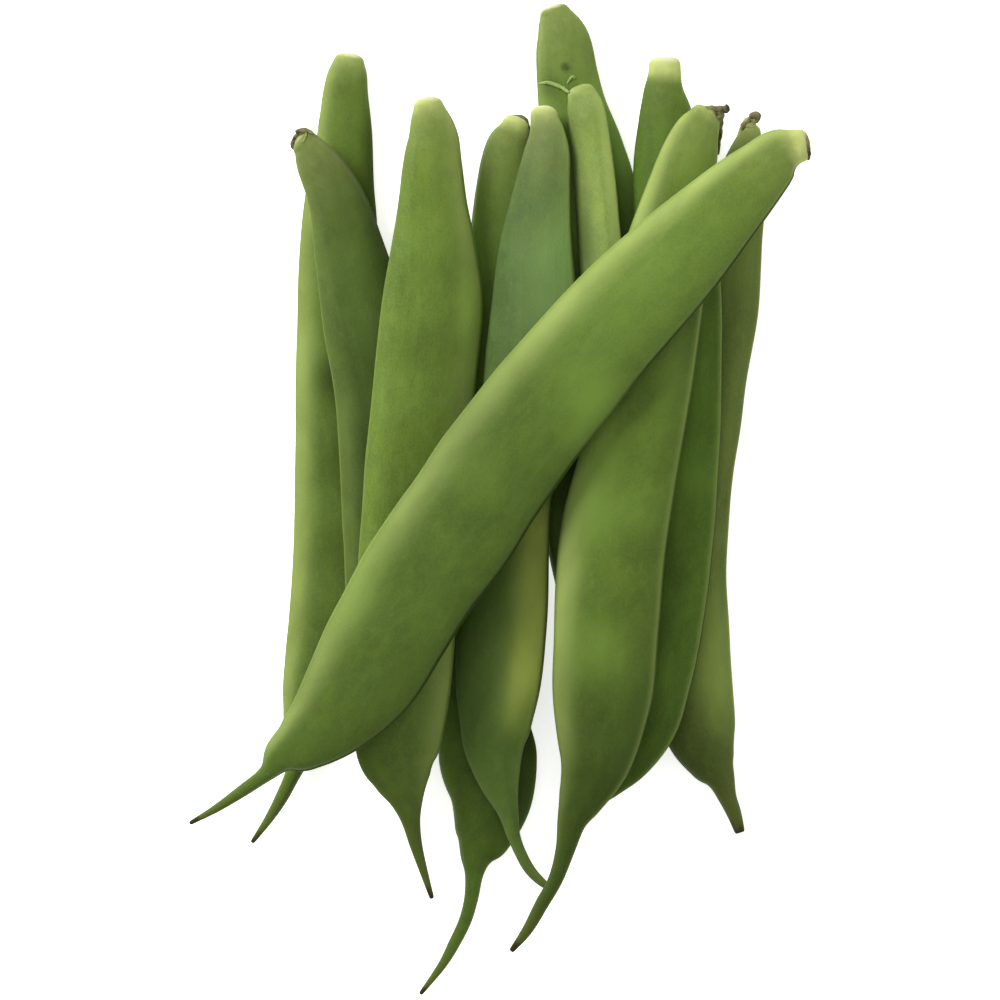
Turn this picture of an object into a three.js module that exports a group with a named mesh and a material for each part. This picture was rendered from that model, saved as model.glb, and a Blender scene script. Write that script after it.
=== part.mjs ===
// A loose bunch of eleven broad, flat green beans, heaped on a level surface.
//
// Millimetres, +Z up. +Y runs from the curved beaks to the stem ends, and +X is to the right
// when the stem ends point away. Each pod is one closed loft through stations along its
// length. The pods are laid down one after another, the lowest first, and each comes to rest
// on those that already lie there. The origin is in the middle of the bunch's footprint, at
// the level of the surface under it.

import * as THREE from "three";

// Pods
const TYPICAL_WIDTH = 20;
const TYPICAL_THICKNESS = 7.8;
const THICKEST_SHARE_OF_WIDTH = 0.94; // necks and beaks are nearly round
const SECTION_SIDES = 14;
const SECTION_SQUARENESS = 2.35; // exponent of the superellipse, where 2 is an ellipse
const RINGS = 36;
const RING_CROWDING = 0.055; // how far rings move from the middle towards both ends
const END_DOME = 0.25;
const POD_ROUGHNESS = 0.62;

// A pod bows upwards by its own `arch` in the middle, and its beak turns down.
const BEAK_START = 0.84; // along the pod, from 0 at the stem end to 1 at the tip
const BEAK_DIP = 2.2;

// Seeds show as low swellings on both faces.
const SEED_SPACING = 16;
const SEED_SWELL = 0.35;
const FIRST_SEED = 0.16;
const LAST_SEED = 0.8;

// Dried calyx: a thin lobed cap that hugs the stem end
const CALYX_RADIUS = 2.2;
const CALYX_THICKNESS = 0.9;
const CALYX_RIM_THINNING = 0.35; // share of the thickness that is gone at the rim
const CALYX_GAP = 0.33;
const CALYX_HUG = 0.2; // how far the rim turns back towards the pod
const CALYX_SIDES = 20;
const CALYX_RINGS = 3;
const CALYX_LOBES = 5; // numbered from 0, which points to the side of the pod
const CALYX_LOBE_DEPTH = 0.16;
const CALYX_LONG_LOBE_STRETCH = 0.5;
const CALYX_LONG_LOBE_LIFT = 0.8; // how far the long lobe's tip stands out from the pod
const CALYX_COLOUR = 0x6b5334;
const CALYX_ROUGHNESS = 0.85;

// Heap
const GAP = 0.3; // left between two pods that rest on each other
const FLAT_SINK = 0.3; // how much of a pod's belly is flattened by what it lies on
const CELL = 0.5; // of the height map that the pods are laid on
const MAP_HALF_WIDTH = 80;
const MAP_HALF_LENGTH = 110;
const STEEPEST_ROLL = 0.36; // rise across a pod over its width
const STEEPEST_PITCH = 0.06; // rise along a pod over its length
const SEARCH_STEPS = 18;
const SMALLEST_AREA = 1e-9; // a triangle seen edge-on covers no cell

// Every pod from its stem end to its beak, as [x, y, width]. The first pod lies lowest.
const PODS = [
  {
    name: "pod_right_back",
    colour: 0x5f7f38,
    arch: 0,
    stations: [
      [50.0, 75.2, 4.0], [49.6, 71.6, 7.2], [48.8, 67.0, 9.8], [47.6, 60.0, 12.0],
      [46.0, 52.0, 13.4], [44.8, 40.0, 14.4], [42.9, 28.0, 14.6], [41.0, 14.0, 14.4],
      [39.2, 0.0, 14.4], [38.4, -14.0, 14.4], [38.5, -28.0, 15.2], [39.0, -40.0, 15.8],
      [40.4, -47.0, 14.4], [42.7, -53.0, 9.4], [44.4, -56.2, 5.6], [45.6, -59.6, 3.8],
      [47.0, -63.0, 3.0], [48.2, -66.8, 2.0],
    ],
    calyx: { reach: 1.0, longLobe: 2 },
  },
  {
    name: "pod_centre_tall",
    colour: 0x6c8f40,
    arch: 0,
    stations: [
      [10.4, 99.3, 4.2], [11.4, 96.4, 7.8], [12.6, 92.4, 10.8], [13.4, 85.2, 12.2],
      [14.6, 78.0, 13.8], [17.0, 70.0, 15.4], [19.6, 60.0, 16.8], [20.6, 40.0, 18.8],
      [20.0, 20.0, 20.0], [19.2, 0.0, 20.2], [19.2, -8.0, 19.6], [20.4, -18.0, 18.0],
      [20.8, -28.0, 16.6], [20.0, -40.0, 14.2], [18.4, -50.0, 10.0], [17.2, -58.0, 4.8],
      [16.6, -66.0, 0.8],
    ],
  },
  {
    name: "pod_left_back",
    colour: 0x688a3c,
    arch: 0,
    stations: [
      [-30.1, 89.2, 4.6], [-30.5, 86.0, 7.6], [-31.0, 82.0, 9.2], [-31.2, 76.0, 10.6],
      [-31.4, 70.0, 11.8], [-32.1, 60.0, 14.6], [-32.3, 50.0, 16.0], [-31.8, 36.0, 18.2],
      [-32.1, 0.0, 18.6], [-33.0, -20.0, 18.4], [-34.8, -32.0, 17.2], [-37.0, -40.0, 14.0],
      [-39.2, -46.4, 9.0], [-41.2, -54.0, 3.6], [-44.0, -60.0, 2.6], [-46.4, -64.0, 1.8],
      [-49.8, -68.8, 0.8],
    ],
  },
  {
    name: "pod_centre_long",
    colour: 0x6a8b3e,
    arch: 0,
    stations: [
      [4.0, 76.8, 4.2], [2.8, 74.0, 6.6], [1.6, 70.8, 9.0], [1.0, 62.0, 12.2], [1.4, 50.0, 15.6],
      [1.0, 34.0, 17.4], [-1.0, 4.0, 16.8], [-1.4, -20.0, 17.6], [-2.8, -39.0, 18.0],
      [-3.0, -45.6, 18.6], [-2.4, -51.6, 20.0], [-1.8, -60.0, 16.6], [-3.5, -68.0, 11.2],
      [-4.8, -71.8, 6.6], [-5.2, -75.0, 3.8], [-5.8, -80.0, 2.8], [-7.0, -84.4, 2.6],
      [-9.2, -89.0, 2.4], [-11.4, -93.0, 1.8], [-16.0, -99.2, 0.8],
    ],
  },
  {
    name: "pod_right_mid",
    colour: 0x5f8038,
    arch: 1.5,
    stations: [
      [33.0, 88.2, 5.6], [33.0, 85.2, 6.8], [32.8, 82.0, 8.4], [33.1, 78.4, 10.6],
      [34.2, 68.0, 15.6], [35.4, 52.0, 17.4], [36.0, 30.0, 17.6], [35.0, 0.0, 17.2],
      [32.4, -24.0, 17.2], [30.0, -36.0, 17.0], [28.2, -44.0, 15.8], [24.8, -51.4, 12.2],
      [21.2, -57.0, 6.8], [18.2, -60.8, 3.4], [15.0, -65.2, 2.4], [11.2, -73.0, 0.8],
    ],
  },
  {
    name: "pod_slim",
    colour: 0x83a04a,
    arch: -0.8,
    stations: [
      [15.6, 82.6, 4.0], [16.8, 79.4, 7.2], [18.0, 72.0, 8.2], [19.6, 56.0, 8.8], [21.0, 32.0, 9.6],
      [21.0, 4.0, 9.8], [20.4, -20.0, 9.2], [19.6, -36.0, 7.2], [18.8, -46.0, 4.0], [18.0, -57.0, 0.8],
    ],
  },
  {
    name: "pod_left_inner",
    colour: 0x5c7c36,
    arch: 2.5,
    stations: [
      [-40.2, 72.4, 4.2], [-38.6, 70.8, 6.2], [-36.7, 67.6, 8.6], [-32.8, 60.0, 11.4],
      [-29.7, 48.0, 14.8], [-27.0, 36.0, 17.2], [-23.8, 20.0, 18.6], [-22.2, -8.0, 18.6],
      [-21.4, -28.0, 17.4], [-20.2, -40.0, 13.8], [-19.2, -48.0, 8.8], [-19.0, -54.0, 4.4],
      [-18.8, -61.0, 0.8],
    ],
    calyx: { reach: 1.0, longLobe: 3 },
  },
  {
    name: "pod_centre_front",
    colour: 0x658a4c,
    arch: 1.5,
    stations: [
      [8.9, 79.0, 4.4], [8.9, 76.6, 6.0], [9.4, 73.4, 7.6], [9.4, 70.0, 9.4], [8.7, 64.0, 11.2],
      [7.4, 52.0, 14.8], [6.8, 38.0, 17.8], [5.8, 23.0, 18.4], [1.8, 0.0, 16.8], [0.4, -24.0, 17.8],
      [-0.4, -38.0, 17.0], [-0.8, -44.0, 15.2], [-1.2, -49.0, 12.8], [-0.2, -56.0, 8.8],
      [1.6, -62.4, 4.4], [3.0, -68.0, 2.6], [5.8, -73.8, 2.2], [8.2, -76.4, 1.8],
      [11.2, -78.6, 0.8],
    ],
  },
  {
    name: "pod_left_front",
    colour: 0x6e923f,
    arch: 2,
    stations: [
      [-14.6, 80.8, 4.4], [-14.1, 77.2, 7.4], [-13.4, 72.4, 10.2], [-13.5, 68.0, 11.6],
      [-13.4, 60.0, 13.6], [-13.2, 52.0, 16.6], [-13.4, 40.0, 20.2], [-15.0, 24.0, 20.6],
      [-17.8, -4.0, 20.2], [-19.0, -28.0, 20.0], [-19.8, -40.0, 19.4], [-20.4, -51.0, 16.4],
      [-19.6, -56.0, 11.4], [-18.6, -60.2, 6.6], [-17.8, -64.2, 3.8], [-16.8, -69.0, 2.5],
      [-13.6, -79.8, 0.9],
    ],
  },
  {
    name: "pod_right_front",
    colour: 0x6f9340,
    arch: 2.5,
    stations: [
      [42.0, 78.4, 4.8], [40.7, 76.0, 7.8], [39.2, 73.2, 9.8], [37.8, 68.6, 12.0],
      [35.8, 60.0, 14.8], [32.6, 46.0, 18.4], [29.8, 32.0, 20.2], [25.8, 8.0, 20.4],
      [22.6, -8.0, 21.8], [21.4, -24.0, 21.4], [20.4, -40.0, 20.2], [19.0, -52.0, 14.8],
      [16.0, -60.0, 9.2], [14.4, -64.0, 6.2], [13.0, -70.0, 4.0], [11.0, -76.0, 3.0],
      [8.4, -80.6, 2.8], [5.4, -86.0, 2.2], [2.2, -90.2, 1.0],
    ],
    calyx: { reach: 1.1, longLobe: 0 },
  },
  {
    name: "pod_crossing",
    colour: 0x739742,
    arch: 5,
    stations: [
      [61.4, 71.2, 5.4], [58.8, 70.7, 7.0], [56.0, 68.9, 10.0], [52.4, 65.8, 12.6],
      [45.8, 59.4, 15.8], [39.0, 52.4, 18.8], [32.6, 45.8, 20.8], [21.4, 34.2, 22.4],
      [0.8, 8.8, 24.2], [-7.8, -4.2, 24.8], [-16.0, -15.6, 24.2], [-21.8, -25.6, 23.4],
      [-27.4, -35.4, 22.0], [-33.8, -43.4, 17.2], [-39.8, -48.6, 12.0], [-43.8, -51.2, 7.4],
      [-46.6, -54.5, 3.4], [-51.5, -58.1, 2.4], [-56.7, -61.6, 1.6], [-62.0, -64.6, 0.8],
    ],
    calyx: { reach: 1.0, longLobe: 1 },
  },
];

// ---------------------------------------------------------------- shapes of pods and calyxes

// Rings stand closer together at the two ends, where the pod changes shape fastest.
function ringShare(index) {
  const even = index / (RINGS - 1);
  return even - RING_CROWDING * Math.sin(2 * Math.PI * even);
}

function thicknessAt(width) {
  const thickness = TYPICAL_THICKNESS * Math.sqrt(width / TYPICAL_WIDTH);
  return Math.min(thickness, THICKEST_SHARE_OF_WIDTH * width);
}

// Height of the pod's middle line above a level line, at a share of its length.
function bowAt(share, arch) {
  const dip = Math.max(share - BEAK_START, 0) / (1 - BEAK_START);
  return 4 * arch * share * (1 - share) - BEAK_DIP * dip ** 2;
}

// Height that the seeds add to each face, at a share of the pod's length.
function seedSwell(share, seedCount) {
  if (share < FIRST_SEED || share > LAST_SEED) return 0;
  const along = (share - FIRST_SEED) / (LAST_SEED - FIRST_SEED);
  return SEED_SWELL * Math.sin(Math.PI * seedCount * along) ** 2;
}

// One ring of points round the middle of the pod, where `side` points across it.
function sectionRing(middle, side, width, swell) {
  const halfWidth = width / 2;
  const halfThickness = thicknessAt(width) / 2;
  const points = [];
  for (let i = 0; i < SECTION_SIDES; i += 1) {
    const angle = (2 * Math.PI * i) / SECTION_SIDES;
    const across = Math.cos(angle);
    const up = Math.sin(angle);
    const power = SECTION_SQUARENESS;
    const radius = (Math.abs(across) ** power + Math.abs(up) ** power) ** (-1 / power);
    const offset = across * radius * halfWidth;
    const height = middle.z + up * radius * halfThickness + swell * up ** 3;
    points.push(new THREE.Vector3(middle.x + side.x * offset, middle.y + side.y * offset, height));
  }
  return points;
}

// Faces of a loft whose rings all have the same number of points, closed by a fan at each end.
function loftFaces(ringCount, sides) {
  const faces = [];
  for (let ring = 0; ring < ringCount - 1; ring += 1) {
    for (let i = 0; i < sides; i += 1) {
      const next = (i + 1) % sides;
      const here = ring * sides;
      const there = here + sides;
      faces.push(here + i, there + next, here + next);
      faces.push(here + i, there + i, there + next);
    }
  }
  const startPole = ringCount * sides;
  const endPole = startPole + 1;
  const lastRing = (ringCount - 1) * sides;
  for (let i = 0; i < sides; i += 1) {
    const next = (i + 1) % sides;
    faces.push(startPole, i, next);
    faces.push(endPole, lastRing + next, lastRing + i);
  }
  return faces;
}

function geometryFrom(points, faces) {
  const geometry = new THREE.BufferGeometry().setFromPoints(points);
  geometry.setIndex(faces);
  geometry.computeVertexNormals();
  return geometry;
}

function unitBetween(from, to) {
  return new THREE.Vector3(to.x - from.x, to.y - from.y, 0).normalize();
}

// The third coordinate of the curve is the pod's width, so one spline carries both.
function podCurve(stations) {
  const points = stations.map(([x, y, width]) => new THREE.Vector3(x, y, width));
  return new THREE.CatmullRomCurve3(points, false, "centripetal");
}

// The pod's middle line and its width at each ring.
function podRings(curve, arch) {
  const rings = [];
  for (let i = 0; i < RINGS; i += 1) {
    const share = ringShare(i);
    const { x, y, z: width } = curve.getPointAt(share);
    rings.push({ share, width, middle: new THREE.Vector3(x, y, bowAt(share, arch)) });
  }
  return rings;
}

function podGeometry(curve, arch) {
  const seedCount = Math.round(((LAST_SEED - FIRST_SEED) * curve.getLength()) / SEED_SPACING);
  const rings = podRings(curve, arch);
  const points = [];
  rings.forEach(({ share, width, middle }, i) => {
    const before = rings[Math.max(i - 1, 0)].middle;
    const after = rings[Math.min(i + 1, RINGS - 1)].middle;
    const along = unitBetween(before, after);
    const side = new THREE.Vector3(along.y, -along.x, 0);
    points.push(...sectionRing(middle, side, width, seedSwell(share, seedCount)));
  });
  points.push(endPole(rings[1].middle, rings[0].middle));
  points.push(endPole(rings[RINGS - 2].middle, rings[RINGS - 1].middle));
  return geometryFrom(points, loftFaces(RINGS, SECTION_SIDES));
}

// The tip of the low dome that closes an end of the pod.
function endPole(inner, end) {
  return unitBetween(inner, end).multiplyScalar(END_DOME).add(end);
}

// A lobed disc that stands across the stem end. One lobe is longer, and the rim curls outward.
function calyxGeometry(curve, calyx) {
  const end = curve.getPointAt(0);
  const outward = unitBetween(curve.getPointAt(0.01), end);
  const side = new THREE.Vector3(outward.y, -outward.x, 0);
  const longLobeAngle = (2 * Math.PI * calyx.longLobe) / CALYX_LOBES;
  const place = (angle, share, face) => {
    const lobe = 1 + CALYX_LOBE_DEPTH * Math.cos(CALYX_LOBES * angle);
    const longLobe = Math.max(Math.cos(angle - longLobeAngle), 0) ** 4;
    const stretch = 1 + CALYX_LONG_LOBE_STRETCH * longLobe;
    const radius = CALYX_RADIUS * calyx.reach * lobe * stretch * share;
    const inner = END_DOME + CALYX_GAP + (CALYX_LONG_LOBE_LIFT * longLobe - CALYX_HUG) * share ** 2;
    const ahead = inner + face * CALYX_THICKNESS * (1 - CALYX_RIM_THINNING * share ** 2);
    return new THREE.Vector3(
      end.x + outward.x * ahead + side.x * radius * Math.cos(angle),
      end.y + outward.y * ahead + side.y * radius * Math.cos(angle),
      radius * Math.sin(angle),
    );
  };
  const points = [];
  const shares = [];
  for (let ring = 1; ring <= CALYX_RINGS; ring += 1) shares.push([ring / CALYX_RINGS, 0]);
  for (let ring = CALYX_RINGS; ring >= 1; ring -= 1) shares.push([ring / CALYX_RINGS, 1]);
  shares.forEach(([share, face]) => {
    for (let i = 0; i < CALYX_SIDES; i += 1) {
      points.push(place((2 * Math.PI * i) / CALYX_SIDES, share, face));
    }
  });
  points.push(place(0, 0, 0), place(0, 0, 1));
  return geometryFrom(points, loftFaces(shares.length, CALYX_SIDES));
}

// ---------------------------------------------------------------- laying the pods on the heap

const COLUMNS = (2 * MAP_HALF_WIDTH) / CELL;
const ROWS = (2 * MAP_HALF_LENGTH) / CELL;
const heapTop = new Float32Array(COLUMNS * ROWS); // zero is the surface under the bunch

function cellCentre(column, row) {
  return [(column + 0.5) * CELL - MAP_HALF_WIDTH, (row + 0.5) * CELL - MAP_HALF_LENGTH];
}

// Calls visit(cell, x, y, height) for each cell of the map whose centre a triangle covers.
function eachCellCovered(a, b, c, visit) {
  const area = (b.x - a.x) * (c.y - a.y) - (c.x - a.x) * (b.y - a.y);
  if (Math.abs(area) < SMALLEST_AREA) return;
  const firstRow = Math.floor((Math.min(a.y, b.y, c.y) + MAP_HALF_LENGTH) / CELL);
  const lastRow = Math.floor((Math.max(a.y, b.y, c.y) + MAP_HALF_LENGTH) / CELL);
  const firstColumn = Math.floor((Math.min(a.x, b.x, c.x) + MAP_HALF_WIDTH) / CELL);
  const lastColumn = Math.floor((Math.max(a.x, b.x, c.x) + MAP_HALF_WIDTH) / CELL);
  for (let row = firstRow; row <= lastRow; row += 1) {
    for (let column = firstColumn; column <= lastColumn; column += 1) {
      const [x, y] = cellCentre(column, row);
      const shareB = ((x - a.x) * (c.y - a.y) - (c.x - a.x) * (y - a.y)) / area;
      const shareC = ((b.x - a.x) * (y - a.y) - (x - a.x) * (b.y - a.y)) / area;
      const shareA = 1 - shareB - shareC;
      if (shareA < 0 || shareB < 0 || shareC < 0) continue;
      visit(row * COLUMNS + column, x, y, shareA * a.z + shareB * b.z + shareC * c.z);
    }
  }
}

// The cells that some geometries cover, each with the lowest and highest surface there.
function footprintOf(geometries) {
  const footprint = new Map();
  const corners = [new THREE.Vector3(), new THREE.Vector3(), new THREE.Vector3()];
  geometries.forEach((geometry) => {
    const position = geometry.getAttribute("position");
    const index = geometry.getIndex();
    for (let i = 0; i < index.count; i += 3) {
      corners.forEach((corner, k) => corner.fromBufferAttribute(position, index.getX(i + k)));
      eachCellCovered(...corners, (cell, x, y, height) => {
        const known = footprint.get(cell) ?? { x, y, low: height, high: height };
        known.low = Math.min(known.low, height);
        known.high = Math.max(known.high, height);
        footprint.set(cell, known);
      });
    }
  });
  return footprint;
}

// The heap's highest point in a cell or in the eight cells round it.
function heapTopNear(cell) {
  let top = 0;
  for (const rowStep of [-COLUMNS, 0, COLUMNS]) {
    for (const columnStep of [-1, 0, 1]) top = Math.max(top, heapTop[cell + rowStep + columnStep]);
  }
  return top;
}

// Where a convex function of one number is smallest.
function lowestPoint(from, to, cost) {
  let [low, high] = [from, to];
  for (let i = 0; i < SEARCH_STEPS; i += 1) {
    const third = (high - low) / 3;
    if (cost(low + third) < cost(high - third)) high -= third;
    else low += third;
  }
  return (low + high) / 2;
}

// The plane on which a pod comes to rest: its middle as low as the heap under it allows.
function restingPlane(footprint, along) {
  const cells = [...footprint.entries()];
  const middle = new THREE.Vector3();
  cells.forEach(([, spot]) => middle.add(new THREE.Vector3(spot.x, spot.y, 0)));
  middle.divideScalar(cells.length);
  const needs = cells.map(([cell, spot]) => {
    const top = heapTopNear(cell);
    const clearance = top > 0 ? GAP : -FLAT_SINK;
    const x = spot.x - middle.x;
    const y = spot.y - middle.y;
    const forward = x * along.x + y * along.y;
    const across = x * along.y - y * along.x;
    return [forward, across, top + clearance - spot.low];
  });
  const heightAt = (pitch, roll) => {
    let height = -Infinity;
    for (const [forward, across, need] of needs) {
      height = Math.max(height, need - pitch * forward - roll * across);
    }
    return height;
  };
  const pitchFor = (roll) => lowestPoint(-STEEPEST_PITCH, STEEPEST_PITCH, (pitch) => heightAt(pitch, roll));
  const roll = lowestPoint(-STEEPEST_ROLL, STEEPEST_ROLL, (value) => heightAt(pitchFor(value), value));
  const pitch = pitchFor(roll);
  return { middle, along, pitch, roll, height: heightAt(pitch, roll) };
}

// Tilts a geometry onto a resting plane and centres it on the plane's middle.
function layDown(geometry, plane) {
  const { middle, along, pitch, roll, height } = plane;
  const position = geometry.getAttribute("position");
  for (let i = 0; i < position.count; i += 1) {
    const x = position.getX(i) - middle.x;
    const y = position.getY(i) - middle.y;
    const rise = pitch * (x * along.x + y * along.y) + roll * (x * along.y - y * along.x);
    position.setXYZ(i, x, y, Math.max(position.getZ(i) + rise, -height));
  }
  geometry.computeVertexNormals();
}

function addToHeap(footprint, plane) {
  const { middle, along, pitch, roll, height } = plane;
  footprint.forEach((spot, cell) => {
    const x = spot.x - middle.x;
    const y = spot.y - middle.y;
    const rise = pitch * (x * along.x + y * along.y) + roll * (x * along.y - y * along.x);
    heapTop[cell] = Math.max(heapTop[cell], spot.high + rise + height);
  });
}

function meshFrom(geometry, name, colour, roughness, plane) {
  const material = new THREE.MeshStandardMaterial({ color: colour, roughness, metalness: 0 });
  const mesh = new THREE.Mesh(geometry, material);
  mesh.name = name;
  mesh.position.set(plane.middle.x, plane.middle.y, plane.height);
  return mesh;
}

function buildHeap() {
  const heap = new THREE.Group();
  PODS.forEach((pod) => {
    const curve = podCurve(pod.stations);
    const geometries = [podGeometry(curve, pod.arch)];
    if (pod.calyx) geometries.push(calyxGeometry(curve, pod.calyx));
    const footprint = footprintOf(geometries);
    const plane = restingPlane(footprint, unitBetween(curve.getPointAt(0), curve.getPointAt(1)));
    geometries.forEach((geometry) => layDown(geometry, plane));
    addToHeap(footprint, plane);
    heap.add(meshFrom(geometries[0], pod.name, pod.colour, POD_ROUGHNESS, plane));
    if (pod.calyx) {
      const calyxName = pod.name.replace("pod", "calyx");
      heap.add(meshFrom(geometries[1], calyxName, CALYX_COLOUR, CALYX_ROUGHNESS, plane));
    }
  });
  return heap;
}

// The heap, moved so that the origin is in the middle of its footprint.
function buildBunch() {
  const heap = buildHeap();
  heap.updateMatrixWorld(true);
  const middle = new THREE.Box3().setFromObject(heap).getCenter(new THREE.Vector3());
  heap.position.set(-middle.x, -middle.y, 0);
  const bunch = new THREE.Group();
  bunch.add(heap);
  return bunch;
}

export default buildBunch();
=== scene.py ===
"""Looks of the green bean bundle: eleven flat pods heaped on a pale surface, seen from above.

The CAD frame gives where every pod lies. Each pod is lofted again here from the same
stations, with many more rings, and set down on the plane that its CAD node lies on.
"""

import math

import bpy
import numpy as np
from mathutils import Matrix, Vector, noise
from mathutils.bvhtree import BVHTree


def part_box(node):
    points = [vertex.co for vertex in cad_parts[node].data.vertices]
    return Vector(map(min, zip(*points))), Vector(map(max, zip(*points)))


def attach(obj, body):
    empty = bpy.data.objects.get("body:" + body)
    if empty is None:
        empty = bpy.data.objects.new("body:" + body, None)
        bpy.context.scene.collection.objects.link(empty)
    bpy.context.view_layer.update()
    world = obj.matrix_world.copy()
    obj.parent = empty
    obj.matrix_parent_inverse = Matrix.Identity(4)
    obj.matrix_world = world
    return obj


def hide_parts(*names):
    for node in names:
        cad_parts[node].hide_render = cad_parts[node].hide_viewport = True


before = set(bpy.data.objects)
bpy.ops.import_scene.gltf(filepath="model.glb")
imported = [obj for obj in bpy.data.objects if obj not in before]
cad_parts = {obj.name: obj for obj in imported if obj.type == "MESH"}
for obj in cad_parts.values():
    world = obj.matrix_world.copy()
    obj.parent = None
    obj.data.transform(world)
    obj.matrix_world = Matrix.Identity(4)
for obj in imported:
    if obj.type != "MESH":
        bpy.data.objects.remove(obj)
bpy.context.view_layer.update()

MM = 0.001  # one millimetre in Blender's metres

# ---------------------------------------------------------------- pods, in millimetres

TYPICAL_WIDTH = 20.0
TYPICAL_THICKNESS = 7.8
THICKEST_SHARE_OF_WIDTH = 0.94
LEAST_HALF = 0.12  # of the width and of the thickness
SECTION_SQUARENESS = 2.15
BEAK_START = 0.84
BEAK_DIP = 2.2
SEED_SPACING = 16.0
SEED_SWELL = 0.35
FIRST_SEED = 0.16
LAST_SEED = 0.8

RINGS = 190
RING_CROWDING = 0.05
SIDES = 72
SIDE_CROWDING = 0.2
POINTS_PER_SPAN = 24
LEAST_GAP = 1e-4
SIDE_STEP = 0.004  # of the length, over which the line's direction is measured

END_ROUNDING = 1.7
TIP_ROUNDING = 0.5
TIP_ROUNDING_SHARE = 0.6
END_ROUNDING_UP = 0.8  # of the thickness, where that of the width is one
END_RING_STEPS = (0.0, 0.03, 0.1, 0.22, 0.4, 0.65, 1.0)  # shares of the rounded end
END_FULLNESS = 0.4  # by which a stem end is wider than its first station
END_FULLNESS_UP = 0.3  # of the thickness, as a share of that
END_FULLNESS_LENGTH = 2.2
COLLAR_DEPTH = 0.08
COLLAR_SPREAD = 1.1

BROAD_WIDTH = 8.0  # from which a pod has its full seams and wavering edges
RELIEF_RISE = 6.0  # from the stem end, in which the relief and the painted light and shade of the edges come in
RIDGE_HEIGHT = 0.5
RIDGE_PLACE = 0.72  # of the half width, towards +X
RIDGE_TURN = 0.34  # by which it nears the middle towards the tip
RIDGE_TURN_SPAN = (0.6, 0.85)  # along the pod
RIDGE_SPREAD = 0.46
RIDGE_RISE = (0.3, 0.5)  # along the pod
RIDGE_FALL = (0.8, 0.66)
EDGE_INSET = 0.12  # of the skin beside the suture, which makes up the width
EDGE_WAVER = 0.12
EDGE_WAVER_LENGTH = 12.0
SEAM_ZONE = 0.45  # of the half width, beyond which a seam may lie
SUTURE_HEIGHT = 0.2
SUTURE_SPREAD = 0.4
SUTURE_GROOVE = 0.12
SUTURE_GROOVE_PLACE = 1.25
SUTURE_GROOVE_SPREAD = 0.5
LUMP_HEIGHT = 0.22
LUMP_SIZE = 12.0
LUMP_OFFSET = 7.3  # in the noise, from one pod to the next
LUMPY_WIDTH = 10.0  # from which a pod has its full lumps

PALE_FADE = (4.2, 1.3)  # how far from the stem end its paleness reaches, and how suddenly it ends
YOUNG_LENGTH = 14.0  # in which a fainter paleness fades
YOUNG_SHARE = 0.24
EDGE_START = 0.2  # of the half width, from where the painted light and shade of an edge come in
RIM_START = 0.93  # of the half width, from where the painted shade of the rim comes in
# How dark the painted shade along the outermost rim of a pod is.
RIM_SHADE = 0.3
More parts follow.
